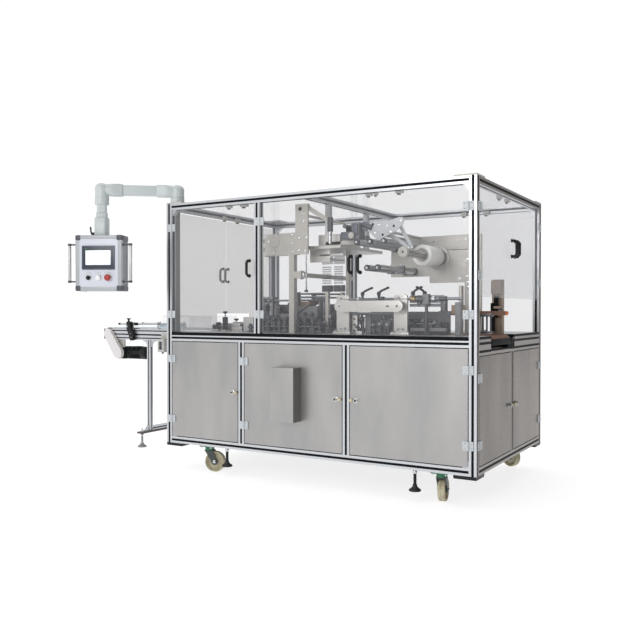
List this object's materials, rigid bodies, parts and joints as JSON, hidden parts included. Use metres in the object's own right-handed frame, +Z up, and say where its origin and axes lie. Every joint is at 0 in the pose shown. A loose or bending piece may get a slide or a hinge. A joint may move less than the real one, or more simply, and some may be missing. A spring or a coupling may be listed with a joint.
{
  "type": "overwrapping machine",
  "caption": "Film overwrapping machine in a slotted-bar cabinet on casters, with clear guard doors, infeed belt conveyor and a swing-arm control panel.",
  "frame": {"origin": "middle of the whole machine's footprint, at floor level", "axes": "+X along the machine in the direction that products travel, +Y from the operator's side to the rear, +Z up"},
  "size_m": [3.148, 1.5865, 1.762],
  "materials": {
    "profile": "bright anodised",
    "deck_steel": "brushed",
    "sheet_steel": "brushed",
    "clear_sheet": "clear",
    "hinge_metal": "satin",
    "beige_paint": "satin",
    "arm_paint": "satin",
    "dark_metal": "satin",
    "dark_green_metal": "satin",
    "cream_tyre": "satin",
    "black_handle": "matte",
    "white_belt": "matte",
    "orange_belt": "matte",
    "guard_white": "gloss",
    "panel_shell": "satin",
    "panel_black": "gloss",
    "grey_case": "matte",
    "roller_steel": "ground",
    "film": "gloss",
    "copper_block": "worn"
  },
  "bodies": {
    "root": {"corner_posts": "profile", "long_rails": "profile", "cross_rails": "profile", "mid_posts": "profile", "corner_plates": "beige_paint", "deck_plate": "deck_steel", "clear_panels": "clear_sheet", "steel_panels": "sheet_steel", "levelling_feet": "dark_metal", "caster_plates": "dark_green_metal", "fixed_hinge_leaves": "hinge_metal", "conveyor_frame": "profile", "conveyor_belt": "white_belt", "conveyor_stand": "profile", "drive_guard": "guard_white", "drive_motor": "dark_metal", "guide_rails": "dark_metal", "switch_box": "grey_case", "outfeed_belts": "orange_belt", "outfeed_frame": "dark_metal", "film_wall": "beige_paint", "guide_rollers": "roller_steel", "side_belt_unit": "roller_steel", "lift_tower": "beige_paint", "folding_station": "dark_metal", "heater_blocks": "copper_block", "infeed_guides": "grey_case"},
    "front_left_door": {"front_left_door": "clear_sheet", "front_left_door_fittings": "black_handle"},
    "front_middle_door": {"front_middle_door": "clear_sheet", "front_middle_door_fittings": "black_handle"},
    "front_right_door": {"front_right_door": "clear_sheet", "front_right_door_fittings": "black_handle"},
    "outlet_near_door": {"outlet_near_door": "clear_sheet", "outlet_near_door_fittings": "black_handle"},
    "outlet_far_door": {"outlet_far_door": "clear_sheet", "outlet_far_door_fittings": "black_handle"},
    "infeed_far_door": {"infeed_far_door": "clear_sheet", "infeed_far_door_fittings": "black_handle"},
    "infeed_near_door": {"infeed_near_door": "clear_sheet", "infeed_near_door_fittings": "black_handle"},
    "lower_left_door": {"lower_left_door": "sheet_steel"},
    "lower_middle_door": {"lower_middle_door": "sheet_steel"},
    "lower_right_door": {"lower_right_door": "sheet_steel"},
    "lower_outlet_near_door": {"lower_outlet_near_door": "sheet_steel"},
    "lower_outlet_far_door": {"lower_outlet_far_door": "sheet_steel"},
    "caster_swivel_front_left": {"caster_fork_front_left": "dark_green_metal"},
    "caster_wheel_front_left": {"caster_wheel_front_left": "cream_tyre"},
    "caster_swivel_front_right": {"caster_fork_front_right": "dark_green_metal"},
    "caster_wheel_front_right": {"caster_wheel_front_right": "cream_tyre"},
    "caster_swivel_rear_left": {"caster_fork_rear_left": "dark_green_metal"},
    "caster_wheel_rear_left": {"caster_wheel_rear_left": "cream_tyre"},
    "caster_swivel_rear_right": {"caster_fork_rear_right": "dark_green_metal"},
    "caster_wheel_rear_right": {"caster_wheel_rear_right": "cream_tyre"},
    "film_spindle": {"film_spindle": "roller_steel", "film_reel": "film"},
    "swing_arm": {"swing_arm": "arm_paint"},
    "panel": {"panel_box": "panel_shell", "panel_controls": "panel_black"}
  },
  "joints": [
    {"name": "front_left_door_hinge", "type": "hinge", "parent": "root", "child": "front_left_door", "pos_m": [-0.4215, -0.42467, 1.223], "axis": [0, 0, -1], "range_deg": [0, 100]},
    {"name": "front_middle_door_hinge", "type": "hinge", "parent": "root", "child": "front_middle_door", "pos_m": [0.2435, -0.42467, 1.223], "axis": [0, 0, -1], "range_deg": [0, 100]},
    {"name": "front_right_door_hinge", "type": "hinge", "parent": "root", "child": "front_right_door", "pos_m": [1.4935, -0.42467, 1.223], "axis": [0, 0, 1], "range_deg": [0, 100]},
    {"name": "outlet_near_door_hinge", "type": "hinge", "parent": "root", "child": "outlet_near_door", "pos_m": [1.542, -0.37617, 1.32], "axis": [0, 0, -1], "range_deg": [0, 100]},
    {"name": "outlet_far_door_hinge", "type": "hinge", "parent": "root", "child": "outlet_far_door", "pos_m": [1.542, 0.73883, 1.32], "axis": [0, 0, 1], "range_deg": [0, 100]},
    {"name": "infeed_far_door_hinge", "type": "hinge", "parent": "root", "child": "infeed_far_door", "pos_m": [-0.47, 0.73883, 1.223], "axis": [0, 0, 1], "range_deg": [-100, 0]},
    {"name": "infeed_near_door_hinge", "type": "hinge", "parent": "root", "child": "infeed_near_door", "pos_m": [-0.47, -0.37617, 1.223], "axis": [0, 0, -1], "range_deg": [-100, 0]},
    {"name": "lower_left_door_hinge", "type": "hinge", "parent": "root", "child": "lower_left_door", "pos_m": [-0.4215, -0.42467, 0.496], "axis": [0, 0, -1], "range_deg": [0, 100]},
    {"name": "lower_middle_door_hinge", "type": "hinge", "parent": "root", "child": "lower_middle_door", "pos_m": [0.1315, -0.42467, 0.496], "axis": [0, 0, -1], "range_deg": [0, 100]},
    {"name": "lower_right_door_hinge", "type": "hinge", "parent": "root", "child": "lower_right_door", "pos_m": [1.4935, -0.42467, 0.496], "axis": [0, 0, 1], "range_deg": [0, 100]},
    {"name": "lower_outlet_near_door_hinge", "type": "hinge", "parent": "root", "child": "lower_outlet_near_door", "pos_m": [1.542, -0.37617, 0.476], "axis": [0, 0, -1], "range_deg": [0, 100]},
    {"name": "lower_outlet_far_door_hinge", "type": "hinge", "parent": "root", "child": "lower_outlet_far_door", "pos_m": [1.542, 0.73883, 0.476], "axis": [0, 0, 1], "range_deg": [0, 100]},
    {"name": "caster_swivel_front_left", "type": "hinge", "parent": "root", "child": "caster_swivel_front_left", "pos_m": [-0.164, -0.36867, 0.134], "axis": [0, 0, 1], "continuous": true},
    {"name": "caster_roll_front_left", "type": "hinge", "parent": "caster_swivel_front_left", "child": "caster_wheel_front_left", "pos_m": [-0.13017, -0.35635, 0.0625], "axis": [-0.342, 0.9397, 0], "continuous": true},
    {"name": "caster_swivel_front_right", "type": "hinge", "parent": "root", "child": "caster_swivel_front_right", "pos_m": [1.337, -0.36867, 0.134], "axis": [0, 0, 1], "continuous": true},
    {"name": "caster_roll_front_right", "type": "hinge", "parent": "caster_swivel_front_right", "child": "caster_wheel_front_right", "pos_m": [1.33075, -0.33321, 0.0625], "axis": [-0.9848, -0.1736, 0], "continuous": true},
    {"name": "caster_swivel_rear_left", "type": "hinge", "parent": "root", "child": "caster_swivel_rear_left", "pos_m": [-0.164, 0.73133, 0.134], "axis": [0, 0, 1], "continuous": true},
    {"name": "caster_roll_rear_left", "type": "hinge", "parent": "caster_swivel_rear_left", "child": "caster_wheel_rear_left", "pos_m": [-0.19783, 0.71902, 0.0625], "axis": [0.342, -0.9397, 0], "continuous": true},
    {"name": "caster_swivel_rear_right", "type": "hinge", "parent": "root", "child": "caster_swivel_rear_right", "pos_m": [1.337, 0.73133, 0.134], "axis": [0, 0, 1], "continuous": true},
    {"name": "caster_roll_rear_right", "type": "hinge", "parent": "caster_swivel_rear_right", "child": "caster_wheel_rear_right", "pos_m": [1.36963, 0.71612, 0.0625], "axis": [0.4226, 0.9063, 0], "continuous": true},
    {"name": "film_spindle_spin", "type": "hinge", "parent": "root", "child": "film_spindle", "pos_m": [1.094, 0.18133, 1.288], "axis": [0, 1, 0], "continuous": true},
    {"name": "arm_swing", "type": "hinge", "parent": "root", "child": "swing_arm", "pos_m": [-0.417, -0.37167, 1.72], "axis": [0, 0, -1], "range_deg": [-60, 60]},
    {"name": "panel_swivel", "type": "hinge", "parent": "swing_arm", "child": "panel", "pos_m": [-0.76632, -0.66478, 1.548], "axis": [0, 0, -1], "range_deg": [-90, 90]}
  ]
}
